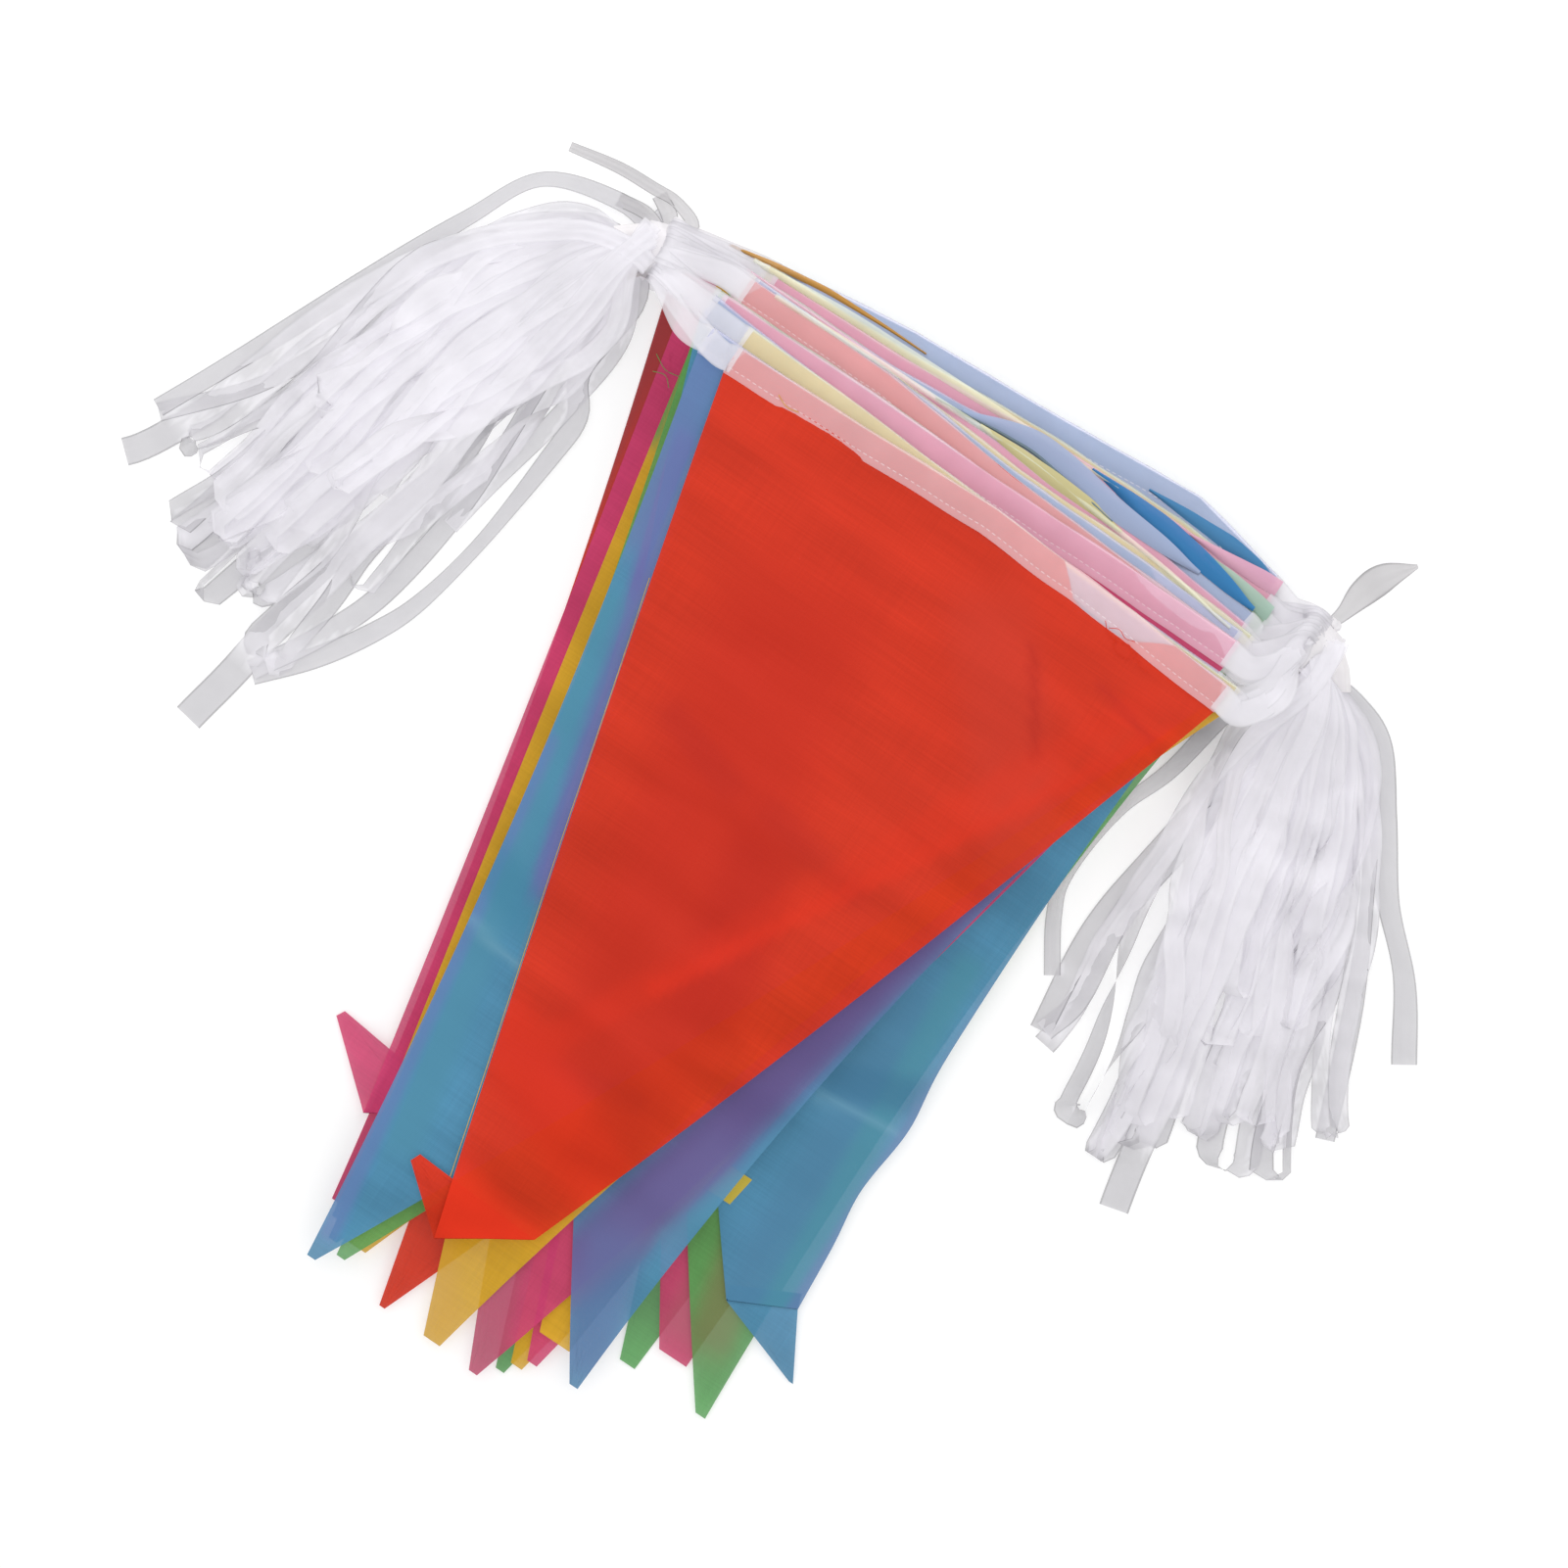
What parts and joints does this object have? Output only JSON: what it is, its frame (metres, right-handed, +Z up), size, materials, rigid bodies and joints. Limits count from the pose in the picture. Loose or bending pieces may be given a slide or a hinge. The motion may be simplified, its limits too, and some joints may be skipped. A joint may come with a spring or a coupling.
{
  "type": "bundled pennant bunting",
  "caption": "Bundled string of sheer triangular cloth pennants lying flat, its tape headers stacked at the top and the spare tape tied at both sides into loose tassels.",
  "frame": {"origin": "bottom centre of the bundle's box, on the surface it lies on", "axes": "+X along the headers towards the right knot, -Y towards the pennants' tips, +Z up"},
  "size_m": [0.4372, 0.3692, 0.028],
  "materials": {
    "red_cloth": "sheer plain weave, matt",
    "red_under_tape": "translucent white tape over red cloth, matt",
    "blue_cloth": "sheer plain weave, matt",
    "blue_under_tape": "translucent white tape over blue cloth, matt",
    "yellow_cloth": "sheer plain weave, matt",
    "yellow_under_tape": "translucent white tape over yellow cloth, matt",
    "magenta_cloth": "sheer plain weave, matt",
    "magenta_under_tape": "translucent white tape over magenta cloth, matt",
    "green_cloth": "sheer plain weave, matt",
    "green_under_tape": "translucent white tape over green cloth, matt",
    "white_tape": "translucent white tape, soft sheen"
  },
  "bodies": {
    "root": {"pennant_front_red": "red_cloth", "pennant_left_blue": "blue_cloth", "pennant_blunt_yellow": "yellow_cloth", "pennant_right_blue": "blue_cloth", "pennant_mid_magenta": "magenta_cloth", "pennant_left_green": "green_cloth", "pennant_mid_red": "red_cloth", "pennant_under_blue": "blue_cloth", "pennant_square_yellow": "yellow_cloth", "pennant_low_magenta": "magenta_cloth", "pennant_right_fold_blue": "blue_cloth", "pennant_right_green": "green_cloth", "pennant_strip_magenta": "magenta_cloth", "pennant_low_yellow": "yellow_cloth", "pennant_back_blue": "blue_cloth", "pennant_small_green": "green_cloth", "pennant_end_green": "green_cloth", "pennant_left_yellow": "yellow_cloth", "pennant_fold_magenta": "magenta_cloth", "pennant_back_red": "red_cloth", "binding_front_red": "red_under_tape", "binding_left_blue": "blue_under_tape", "binding_blunt_yellow": "yellow_under_tape", "binding_right_blue": "blue_under_tape", "binding_mid_magenta": "magenta_under_tape", "binding_left_green": "green_under_tape", "binding_mid_red": "red_under_tape", "binding_under_blue": "blue_under_tape", "binding_square_yellow": "yellow_under_tape", "binding_low_magenta": "magenta_under_tape", "binding_right_fold_blue": "blue_under_tape", "binding_right_green": "green_under_tape", "binding_strip_magenta": "magenta_under_tape", "binding_low_yellow": "yellow_under_tape", "binding_back_blue": "blue_under_tape", "binding_small_green": "green_under_tape", "binding_end_green": "green_under_tape", "binding_left_yellow": "yellow_under_tape", "binding_fold_magenta": "magenta_under_tape", "binding_back_red": "red_under_tape", "left_tassel": "white_tape", "right_tassel": "white_tape", "left_tie": "white_tape", "right_tie": "white_tape"}
  },
  "joints": []
}
